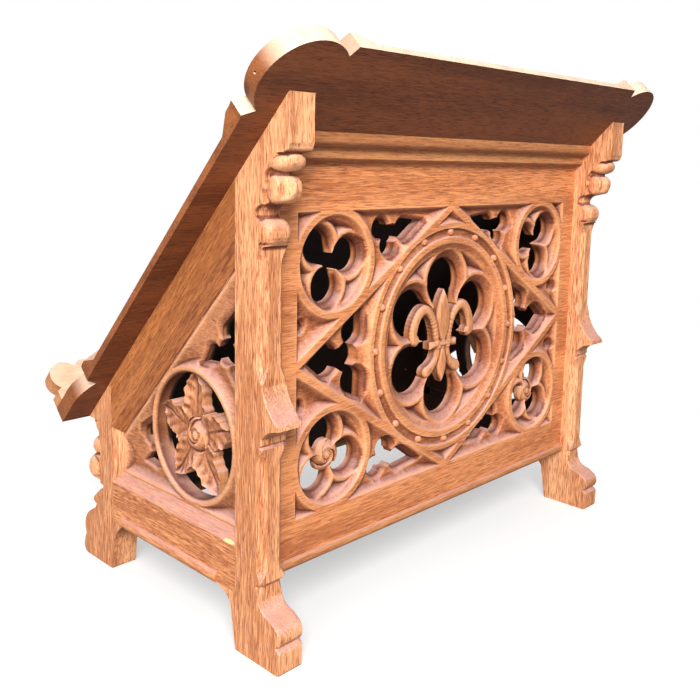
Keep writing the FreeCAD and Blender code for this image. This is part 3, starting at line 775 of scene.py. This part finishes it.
# %% Pellet tree
pellet_tree = bpy.data.node_groups.new("pellet_ring", "GeometryNodeTree")
pellet_ids = {}
pellet_tree.interface.new_socket(name="Geometry", in_out="INPUT", socket_type="NodeSocketGeometry")
for label, kind, value in (("Count", "Int", 8), ("Ring radius", "Float", 0.05),
                           ("Ball radius", "Float", 0.002)):
    item = pellet_tree.interface.new_socket(name=label, socket_type="NodeSocket" + kind)
    item.default_value = value
    pellet_ids[label] = item.identifier
pellet_tree.interface.new_socket(name="Geometry", in_out="OUTPUT", socket_type="NodeSocketGeometry")
nodes = pellet_tree.nodes
p_in, p_out = nodes.new("NodeGroupInput"), nodes.new("NodeGroupOutput")
circle = nodes.new("GeometryNodeMeshCircle")
ball = nodes.new("GeometryNodeMeshUVSphere")
ball.inputs["Segments"].default_value = 20
ball.inputs["Rings"].default_value = 12
smooth = nodes.new("GeometryNodeSetShadeSmooth")
spread = nodes.new("GeometryNodeInstanceOnPoints")
real = nodes.new("GeometryNodeRealizeInstances")
coat = nodes.new("GeometryNodeSetMaterial")
coat.inputs["Material"].default_value = oaks["carved"]
for source, out_name, target, in_name in (
        (p_in, "Count", circle, "Vertices"), (p_in, "Ring radius", circle, "Radius"),
        (p_in, "Ball radius", ball, "Radius"), (ball, "Mesh", smooth, "Geometry"),
        (circle, "Mesh", spread, "Points"), (smooth, "Geometry", spread, "Instance"),
        (spread, "Instances", real, "Geometry"), (real, "Geometry", coat, "Geometry"),
        (coat, "Geometry", p_out, "Geometry")):
    pellet_tree.links.new(source.outputs[out_name], target.inputs[in_name])
print("tree", pellet_tree.name)

# %% [markdown]
# A tree's result has to be a plain mesh before the frame can take it, so the modifier is run
# once, its result is kept, and the modifier goes.


# %% Make the pellets
def grow(name, tree, values):
    """Runs a tree once and returns its result as a plain mesh object."""
    thing = add_object(name, bpy.data.meshes.new(name + "_seed"))
    modifier = thing.modifiers.new("make", "NODES")
    modifier.node_group = tree
    for key, value in values.items():
        modifier[key] = value
    graph = bpy.context.evaluated_depsgraph_get()
    made = bpy.data.meshes.new_from_object(thing.evaluated_get(graph))
    thing.modifiers.remove(modifier)
    thing.data = made
    return thing


pellets = grow("roundel_pellets", pellet_tree, {
    pellet_ids["Count"]: 16, pellet_ids["Ring radius"]: BEAD_R * MM,
    pellet_ids["Ball radius"]: 3.5 * MM})
in_groove = Matrix.Translation((0, (FACE_Y + BEAD_DEEP - Y_MID) * MM, MID_Z * MM))
pellets.data.transform(in_groove @ Matrix.Rotation(math.radians(90), 4, "X"))
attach(pellets, "root")
print("pellets", len(pellets.data.polygons), "faces")

# %% [markdown]
# ## Roundel ornament
# The fleur-de-lis is cut from the same thickness. Its curls are strokes of a changing width,
# so the outline is the edge of many discs along each arc, and the face rounds down to it.


# %% Strokes
ORN = 0.5  # grid step of the small ornaments
BAND_X, BAND_V, BAND_HALF = 18.5, -6.5, 3.5  # the band that ties the leaves together


def stroke(u, v, points, widths, samples=26):
    """Distance to a brush stroke through `points` (a smooth curve) with widths along it."""
    t = np.linspace(0, 1, samples)
    k = len(points)
    coefficient = np.polyfit(np.linspace(0, 1, k), np.array(points, float), k - 1)
    path = np.stack([np.polyval(coefficient[:, i], t) for i in range(2)], 1)
    radius = np.interp(t, np.linspace(0, 1, len(widths)), widths)
    return joined([disc(u, v, p[0], p[1], r) for p, r in zip(path, radius)])


def lens(u, v, low, high, half):
    """Distance to a pointed leaf standing from `low` to `high`."""
    reach = (high - low) / 2
    big = (reach ** 2 + half ** 2) / (2 * half)
    centre = (low + high) / 2
    return np.maximum(disc(u, v, big - half, centre, big), disc(u, v, half - big, centre, big))


def lily(u, v):
    v = v - MID_Z
    w = np.abs(u)
    curl = [(8.5, -5.0), (13.0, 15.0), (26.0, 25.5), (37.5, 14.0), (36.5, 0.5)]
    foot = [(6.0, -8.0), (10.0, -21.0), (20.5, -29.5)]
    return joined([
        lens(w, v, -9.0, 42.0, 9.5), lens(w, v, -41.0, -6.0, 6.6),
        stroke(w, v, curl, (4.4, 4.2, 5.0, 5.2, 5.2)), stroke(w, v, foot, (4.2, 4.0, 5.6)),
        np.maximum(w - BAND_X, np.abs(v - BAND_V) - BAND_HALF)])


def lily_depth(u, v):
    round_over = 2.6 * (1 - unit(-lily(u, v) / 4.0)) ** 2
    on_band = (np.abs(u) < BAND_X) & (np.abs(v - MID_Z - BAND_V) < BAND_HALF)
    return round_over + np.where(on_band, 0.0, 1.0) + 0.1 * soft_noise(u, v, 2.2, 9)


def lily_place(u, v, d):
    return u, FACE_Y + 4.5 + d - Y_MID, v


lily_piece = carve("lily_ornament", np.arange(-46, 46.1, ORN),
                   np.arange(MID_Z - 43, MID_Z + 44.1, ORN), lambda u, v: -lily(u, v), lily_depth,
                   9.5, lily_place, oaks["ornament"])
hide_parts("roundel_ornament")

# %% [markdown]
# ## Buds in the lower rings
# Each bud is a round boss with three petals wrapped about a heart, overlapping like a turning
# spiral. The right one mirrors the left.

# %% Buds
def swirl(a, r, size, arms):
    """Petals wrapped round a seed: each turn overlaps the next and leaves a dark quirk."""
    phase = np.mod(a * arms / (2 * math.pi) + 1.4 * r / size, 1.0)
    domed = 0.6 + 4.6 * (r / size) ** 2.2
    folded = domed + 3.2 * phase ** 1.6 * unit((r - 0.30 * size) / (0.25 * size))
    collar = 1.6 * np.exp(-((r - 0.38 * size) / (0.07 * size)) ** 2)
    seed = 1.2 + 2.6 * (r / (0.34 * size)) ** 2
    return np.where(r < 0.34 * size, seed, folded + collar)


def bud_outline(u, v):
    return np.hypot(u, v) - (12.4 + 0.8 * np.cos(3 * np.arctan2(v, u) + 0.7))


def bud_depth(u, v):
    folds = swirl(np.arctan2(v, u), np.hypot(u, v), 13.0, 3)
    return 1.6 + 0.85 * folds + 0.12 * soft_noise(u + 30, v + 30, 1.8, 3)


def bud_place(s):
    return lambda u, v, d: (s * (CORNER_X - u), FACE_Y + 3.0 + d - Y_MID, MID_Z - CORNER_Z + v)


bud_line = np.arange(-13.5, 13.6, ORN * 0.8)
for tag, s in SIDES:
    bud = carve("bud_" + tag, bud_line, bud_line, lambda u, v: -bud_outline(u, v), bud_depth, 11.0,
                bud_place(s), oaks["ornament"], flip=(s > 0))
    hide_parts("bud_lower_" + tag)

# %% [markdown]
# ## Side panels
# The side panels are triangles with one ring, carved with the same tools on the other face.


# %% Side panel pattern
RING_Y, RING_Z, RING_IN, RING_OUT = 95.0, 144.0, 49.5, 54.0
SIDE_FACE, SIDE_THICK, SIDE_LOW, SIDE_REAR, SIDE_FRONT = 212.0, 14.0, 88.0, 29.4, 193.8
SLOPE_COS, RAIL_DEEP = 0.6979, 36.0  # cosine of the desk's slope, and the sloping rail's depth
LIP = 2.4  # width and depth of the hollow on the ring's inner arris
side_foils = [
    (162.0, 128.0, 8.2, (157.0, 141.5)), (153.5, 109.5, 7.4, (169.5, 104.5)),
    (156.5, 118.5, 5.6, None), (56.0, 230.0, 8.6, (46.0, 251.0)),
    (73.5, 212.0, 7.6, (87.0, 203.5)), (47.0, 204.0, 8.0, (38.5, 184.0)), (58.5, 215.5, 9.6, None)]


def below_rail(u, v):
    return (under_desk(u) - v) * SLOPE_COS - RAIL_DEEP


def side_opening(u, v):
    holes = [disc(u, v, RING_Y, RING_Z, RING_IN)] + [foil_gap(u, v, foil) for foil in side_foils]
    return np.minimum(joined(holes), below_rail(u, v) + 0.5)


def side_depth(u, v):
    slope_gap = below_rail(u, v)
    radius = np.hypot(u - RING_Y, v - RING_Z)
    edge = joined([radius - RING_OUT, (slope_gap - 3.2) * 0.62, v - SIDE_LOW - 2.0,
                   (SIDE_FRONT - u - 1.5) * 1.4, (u - SIDE_REAR) * 1.3 + 4])
    d = cove(edge, 9.0, 6.0)
    for foil in side_foils:
        d = foil_dish(d, foil_gap(u, v, foil), edge, 4.0, 5.0, 2.6)
    d = np.where(radius < RING_OUT, 0.0, d)
    lip = LIP * unit((RING_IN + LIP - radius) / LIP) ** 1.3
    d = np.where(radius < RING_IN + LIP, lip, d)
    groove = 1.8 * np.exp(-((slope_gap - 0.6) / 0.9) ** 2)
    return np.maximum(d, groove) + 0.15 * soft_noise(u, v, 3.0, 12) * unit(d)


def side_place(s):
    return lambda u, v, d: (s * (SIDE_FACE - d), u - Y_MID, v)


side_u = np.concatenate(([SIDE_REAR], np.arange(30.4, 193.0, STEP), [SIDE_FRONT]))
side_v = np.arange(SIDE_LOW, 293.0, STEP)
for tag, s in SIDES:
    side = carve("side_panel_" + tag, side_u, side_v, side_opening, side_depth, SIDE_THICK,
                 side_place(s), oaks["carved_side"], flip=(s < 0))
    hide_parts("side_tracery_" + tag)

# %% [markdown]
# ## Posts
# A post is sawn to its outline first and carved afterwards. So it is lofted here: at each
# height there is a rectangle between the front and back outlines, its front arrises take the
# stopped chamfer, and in the bracket the sides are sunk round rounded buds.


# %% Post outlines
def arc(a, m, b, count=9):
    """Points on the circle through three points, from a to b."""
    (ax, ay), (mx, my), (bx, by) = a, m, b
    d = 2 * (ax * (my - by) + mx * (by - ay) + bx * (ay - my))
    aa, mm, bb = ax ** 2 + ay ** 2, mx ** 2 + my ** 2, bx ** 2 + by ** 2
    ux = (aa * (my - by) + mm * (by - ay) + bb * (ay - my)) / d
    uy = (aa * (bx - mx) + mm * (ax - bx) + bb * (mx - ax)) / d
    r = math.hypot(ax - ux, ay - uy)
    start = math.atan2(ay - uy, ax - ux)
    middle = math.remainder(math.atan2(my - uy, mx - ux) - start, 2 * math.pi)
    end = math.remainder(math.atan2(by - uy, bx - ux) - start, 2 * math.pi)
    if end * middle < 0:
        end += math.copysign(2 * math.pi, middle)
    turns = [start + end * t for t in np.linspace(0, 1, count)]
    return [(ux + r * math.cos(a), uy + r * math.sin(a)) for a in turns]


def outline(steps):
    """Height and offset tables from straight and arc steps that rise all the way."""
    points = [steps[0]]
    for step in steps[1:]:
        points += arc(points[-1], *step) if isinstance(step[0], tuple) else [step]
    y, z = np.array(points).T
    z = np.maximum.accumulate(z + np.arange(len(z)) * 1e-6)
    return z, y


FOOT_TOP = 44.4  # the back of a foot stops here, in a flat shoulder drawn as two tiny rises
SHOULDER = (FOOT_TOP, FOOT_TOP + 0.01, FOOT_TOP + 0.02)
tall_front = outline([
    (-18.5, 0.0), (-19.8, 1.5), (-20.0, 16.0), ((-18.2, 18.4), (-14.7, 18.9)),
    ((-20.2, 26.5), (-15.6, 34.2)), (-10.2, 37.5), ((-1.5, 40.6), (3.0, 47.5)), (3.0, 57.0),
    (0.0, 60.0), (0.0, 158.6), (2.0, 160.2), (0.0, 161.8), (0.0, 166.0),
    ((-5.0, 171.2), (-17.2, 175.2)), (-16.2, 179.1), ((-7.2, 188.0), (0.0, 203.0)), (0.0, 298.4),
    ((-7.4, 308.0), (1.6, 317.9)), ((0.2, 323.6), (-6.0, 327.0)), (-11.5, 328.6),
    ((-18.4, 331.9), (-20.5, 337.5)), ((-19.4, 343.4), (-14.0, 346.4)), (-13.6, 348.6),
    ((-20.9, 352.4), (-22.6, 359.6)), (-20.4, 361.2), (-24.4, 363.4), (-26.0, 368.0),
    (-26.0, 400.1)])
tall_back = outline([
    (29.2, 0.0), (29.4, 1.0), (35.2, 34.0), ((39.6, 39.4), (47.4, 41.8)), (49.9, SHOULDER[0]),
    (49.9, SHOULDER[1]), (29.4, SHOULDER[2]), (29.4, 343.3), (-25.9, 400.1)])
short_front = outline([
    (245.9, 0.0), ((251.6, 3.4), (252.6, 9.1)), (248.8, 18.2), ((250.4, 27.5), (240.4, 41.7)),
    (231.3, 47.3), (229.3, 51.7), (234.5, 53.8), (234.4, 56.6), (223.5, 65.4), (223.1, 72.2),
    (240.0, 72.6), ((246.2, 81.5), (241.5, 93.6)), (232.5, 97.0), ((236.9, 103.6), (231.8, 112.6)),
    ((231.2, 120.5), (236.3, 128.8)), (236.3, 130.9), (199.6, 168.7)])
short_back = outline([
    (203.7, 0.0), (202.2, 1.0), (198.6, 27.4), ((193.4, 36.5), (183.0, SHOULDER[0])),
    (183.0, SHOULDER[1]), (199.5, SHOULDER[2]), (199.5, 168.7)])
print("outline points", len(tall_front[0]), len(short_front[0]))

# %% [markdown]
# A section starts at the back corner, comes forward along the left side and turns round the
# front arris: a plain chamfer on the shaft, a round with a cleft in the bracket.

# %% Section of a post
POST_X0, POST_X1 = -220.0, -197.5
CARVED_RADIUS, SINK = 7.5, 3.6  # arris in the bracket, and how far its sides are sunk
BACK, SIDE = 4, 7  # number of points on the plain and on the sunk part of a side


def section(depth, reach, sink, radius, round_part, cleft):
    """Left half of a section: a is in from the left side, b is back from the front."""
    back = np.linspace(depth, reach, BACK)[:-1]
    flank = np.linspace(reach, radius, SIDE + 1)
    theta = np.linspace(0, math.pi / 2, 11)[1:]
    t = theta * 2 / math.pi
    turn_a = round_part * (1 - np.cos(theta)) + (1 - round_part) * t
    turn_b = round_part * (1 - np.sin(theta)) + (1 - round_part) * (1 - t)
    dent = 0.7 * cleft * np.exp(-((t - 0.5) / 0.2) ** 2)
    a = np.concatenate((np.zeros(BACK), np.full(SIDE, sink), sink + radius * turn_a + dent))
    b = np.concatenate((back, flank, radius * turn_b + dent))
    return a, b


def raised(y, z, buds):
    """How far the nearest bud stands out of the sunk side at (y, z), from 0 to 1."""
    rise = np.zeros_like(y)
    for cy, cz, ry, rz in buds:
        q = (y - cy) ** 2 / ry ** 2 + (z - cz) ** 2 / rz ** 2
        rise = np.maximum(rise, np.sqrt(unit(1 - q)))
    return rise


def ring_of_points(z, sign, front, back, arris, carving):
    """One closed section at height z; `sign` is -1 when the carved front looks towards -Y."""
    yf, yb = float(np.interp(z, *front)), float(np.interp(z, *back))
    depth = abs(yf - yb)
    if carving["low"] < z < carving["high"]:
        radius = min(CARVED_RADIUS, depth * 0.3)
        limit = float(np.interp(z, *carving["limit"]))
        reach = max(min(depth * 0.8, sign * (yf - limit)), radius + 0.01)
        sink = SINK * min((z - carving["low"]) / 4.0, 1.0)
        cleft_z, half, size = carving["cleft"]
        cleft = size * math.exp(-((z - cleft_z) / half) ** 4)
        a, b = section(depth, reach, sink, radius, 1.0, cleft)
        rise = sink * raised(yf - sign * b, z, carving["buds"])
        a = np.where(a > 0, np.maximum(a - rise, 0), a)
    else:
        radius = min(float(np.interp(z, *arris)), depth * 0.3)
        a, b = section(depth, radius + 0.01, 0.0, radius, 0.0, 0.0)
    middle = a[-1] + (POST_X1 - POST_X0 - 2 * a[-1]) * np.linspace(0, 1, 9)[1:-1]
    xs = np.concatenate((POST_X0 + a, POST_X0 + middle, POST_X1 - a[::-1]))
    bs = np.concatenate((b, np.full(len(middle), b[-1]), b[::-1]))
    return np.stack((xs, yf - sign * bs - Y_MID, np.full_like(xs, z)), -1)


print("points in half a section", len(section(40.0, 5.0, 0.0, 4.0, 0.0, 0.0)[0]))

# %% [markdown]
# The rings are stacked and joined with quads. A little random cutting keeps the buds from
# looking turned, and each point learns whether it lies in a dip or on a crest, for the finish.


# %% Loft a post
FLANK = 14  # points from the back corner to the middle of the front arris
REACH = 12  # how far back from the arris the chisel marks go, mm


def loft(sign, levels, front, back, arris, carving):
    """Grid of points, one row for each height, with a dip value for each point."""
    grid = np.array([ring_of_points(z, sign, front, back, arris, carving) for z in levels])
    x, y, z = grid[..., 0], grid[..., 1], grid[..., 2]
    marks = np.clip(0.22 * soft_noise(x + y + 400, z, 2.6, 31), 0, 0.25)
    in_bracket = (z > carving["low"]) & (z < carving["high"])
    near_front = np.abs(y - y[:, FLANK - 1:FLANK]) < REACH
    grid[..., 1] -= sign * marks * in_bracket * near_front
    out = sign * grid[..., 1]
    from_side = np.minimum(x - POST_X0, POST_X1 - x)
    column = np.arange(grid.shape[1])
    on_flank = (column <= FLANK) | (column >= grid.shape[1] - FLANK - 1)
    proud = np.where(on_flank, 0.5 * out - 1.3 * from_side, out)
    nearby = (np.roll(proud, -3, 0) + np.roll(proud, 3, 0)) / 2
    dip = np.clip((nearby - proud) / 0.8, -1, 1)
    carved_rows = (z[:, :1] > carving["low"] - 4) & (z[:, :1] < carving["high"] + 4)
    return grid, np.where(carved_rows & ((from_side > 0.05) | (column == FLANK)), dip, 0.0)


def loft_faces(n, m):
    quads = [(i * m + j, i * m + (j + 1) % m, (i + 1) * m + (j + 1) % m, (i + 1) * m + j)
             for i in range(n - 1) for j in range(m)]
    return quads + [tuple(range(m))[::-1], tuple((n - 1) * m + j for j in range(m))]


def stile_prism(low, high, base):
    """The strip behind a short post that widens it beside the panel."""
    corners = ((POST_X0, 199.5), (-SIDE_FACE, SIDE_FRONT), (POST_X1, SIDE_FRONT),
               (POST_X1, 200.5), (-219.9, 200.5))
    verts = [(x * MM, (y - Y_MID) * MM, z * MM) for z in (low, high) for x, y in corners]
    k = len(corners)
    faces = [tuple(base + j for j in range(k)), tuple(base + k + j for j in range(k))[::-1]]
    faces += [(base + j, base + k + j, base + k + (j + 1) % k, base + (j + 1) % k)
              for j in range(k)]
    return verts, faces


def post(name, sign, levels, front, back, arris, carving, stile=None):
    """Makes the left post and its mirror image."""
    grid, dip = loft(sign, levels, front, back, arris, carving)
    verts = (grid.reshape(-1, 3) * MM).tolist()
    faces = loft_faces(*dip.shape)
    if stile:
        more_verts, more_faces = stile_prism(*stile, len(verts))
        verts, faces = verts + more_verts, faces + more_faces
    dips = np.zeros(len(verts), np.float32)
    dips[:dip.size] = dip.reshape(-1)
    made = []
    for tag, side in SIDES:
        mesh = bpy.data.meshes.new(name + "_" + tag)
        mesh.from_pydata([(-side * x, y, z) for x, y, z in verts], [], faces)
        work = bmesh.new()
        work.from_mesh(mesh)
        bmesh.ops.recalc_face_normals(work, faces=work.faces)
        work.to_mesh(mesh)
        work.free()
        shade_smooth(mesh, 34)
        point_values(mesh, "quirk", dips)
        mesh.materials.append(oaks["post"])
        thing = add_object(name + "_" + tag, mesh)
        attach(thing, "root")
        made.append(thing)
    print(name, "points", len(verts))
    return made


# %% [markdown]
# Both kinds of post follow: where the rows are close and where they are wide apart, the size of
# the arris at each height, and the bracket with the middle and half sizes of its buds.


# %% Make the four posts
def heights(marks, *runs):
    rows = {round(z, 4) for low, high, step in runs for z in np.arange(low, high, step)}
    return sorted(rows | {runs[-1][1]} | set(marks))


tall_levels = heights((*SHOULDER, 343.3), (0, 62, 0.9), (62, 155, 3.0), (155, 206, 0.9),
                      (206, 296, 3.0), (296, 372, 0.7), (372, 399.6, 4.0))
tall_bracket = {
    "low": 299.5, "high": 361.5, "cleft": (339.5, 7.5, 5.0),
    "limit": ((299, 306, 318, 332, 346, 354, 358, 361.5), (2, 0, 2, 2, -1, -6, -11, -17)),
    "buds": ((-14.0, 354.6, 12.0, 5.0), (-10.0, 337.4, 9.0, 10.0), (-4.0, 308.8, 11.0, 10.5)),
}
tall_arris = ((0, 44, 48, 59.9, 60.3, 61.5, 70, 149, 158, 204, 215, 289, 298, 400),
              (1.2, 1.0, 1.2, 4.6, 0.8, 0.8, 6.0, 6.0, 0.8, 0.8, 6.0, 6.0, 0.8, 0.8))
short_levels = heights((*SHOULDER, 130.9), (0, 131, 0.9), (131, 168.4, 3.0))
short_bracket = {
    "low": 66.0, "high": 129.5, "cleft": (83.0, 8.0, 4.5),
    "limit": ((66, 90, 110, 130), (221, 220, 220, 224)),
    "buds": ((238.0, 83.0, 10.0, 10.0), (231.0, 104.0, 8.0, 8.0), (232.0, 123.0, 9.0, 7.0)),
}
short_arris = ((0, 44, 58, 65, 170), (1.2, 1.0, 1.6, 0.8, 0.8))
tall_posts = post("tall_post", -1, tall_levels, tall_front, tall_back, tall_arris, tall_bracket)
short_posts = post("short_post", 1, short_levels, short_front, short_back, short_arris,
                   short_bracket, stile=(80.0, 128.0))
for (tag, _), tall_one, short_one in zip(SIDES, tall_posts, short_posts):
    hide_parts("rear_post_" + tag)
    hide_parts("front_post_" + tag)

# %% [markdown]
# ## Roses
# A rose fills each side ring: five lobed petals with a midrib, their tips curling out to the
# ring, round a spiral bud.

# %% Rose
# Each petal: length, half width, how far its first edge lifts, how far its tip curls out (mm).
PETALS = ((49.5, 11.5, 1.6, 2.5), (47.0, 15.5, -2.0, 1.0), (44.0, 14.0, 1.8, 3.2),
          (49.5, 12.5, -1.4, 2.2), (43.0, 15.5, 2.2, 1.4))
FIFTH = 2 * math.pi / 5
BOSS_R = 14.0


def rose_parts(u, v):
    """Angle and distance from the middle, along and across the nearest petal, its sizes."""
    r = np.hypot(u, v)
    a = np.arctan2(v, u)
    turn = (a - math.pi / 2) / FIFTH
    index = np.mod(np.rint(turn), 5).astype(int)
    off = (turn - np.rint(turn)) * 2 * math.pi / 5
    sizes = np.moveaxis(np.array(PETALS)[index], -1, 0)
    return (a, r, r * np.cos(off), r * np.sin(off), *sizes)


def petal_half(t, width):
    """Half width of a petal at the share t of its length."""
    lobes = 1 + 0.13 * np.cos(t * 15.5 + 0.6) * unit(t * 4 - 1) + 0.045 * np.cos(t * 44)
    return width * np.sin(math.pi * unit(t) ** 0.82) ** 0.7 * lobes


def rose_outline(u, v):
    a, r, along, across, length, width, lift, curl = rose_parts(u, v)
    t = np.clip(along / length, 0.001, 1.05)
    leaf = np.where(along > 0, np.abs(across) - petal_half(t, width), 50.0) * 0.85
    return np.maximum(np.minimum(leaf, r - BOSS_R), r - RING_IN)


def rose_depth(u, v):
    a, r, along, across, length, width, lift, curl = rose_parts(u, v)
    t = np.clip(along / length, 0.001, 1)
    half = petal_half(t, width) + 0.1
    w = np.clip(across / half, -1, 1)
    cupped = 7.4 - 3.6 * w ** 2 - lift * w * unit(t * 2)
    belly = -2.2 * np.sin(math.pi * unit(t * 1.25 - 0.2))
    tip = -curl * unit((t - 0.72) / 0.28) ** 1.5
    midrib = 1.3 * np.exp(-(across / 1.3) ** 2) * unit(t * 2.2 - 0.5)
    veins = 0.5 * np.sin(along * 0.62 - np.abs(across) * 0.55) * unit(np.abs(w) * 1.5)
    petal = np.clip(cupped + belly + tip + midrib + veins, 0.2, 10.5)
    boss = swirl(a, r, BOSS_R, 3) + 0.4
    d = np.where(r < BOSS_R, np.minimum(boss, petal + 1.5), petal)
    u, v = u + 60, v + 60
    return d + 0.22 * soft_noise(u, v, 2.6, 21) + 0.1 * soft_noise(u, v, 1.1, 22)


def rose_place(s):
    return lambda u, v, d: (s * (SIDE_FACE - 0.5 - d), RING_Y - u - Y_MID, RING_Z + v)


ROSE_STEP = 0.6
rose_line = np.arange(-50, 50.1, ROSE_STEP)
for tag, s in SIDES:
    rose = carve("rose_" + tag, rose_line, rose_line, lambda u, v: -rose_outline(u, v), rose_depth,
                 12.5, rose_place(s), oaks["ornament"], flip=(s > 0))
    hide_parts("side_rose_" + tag)
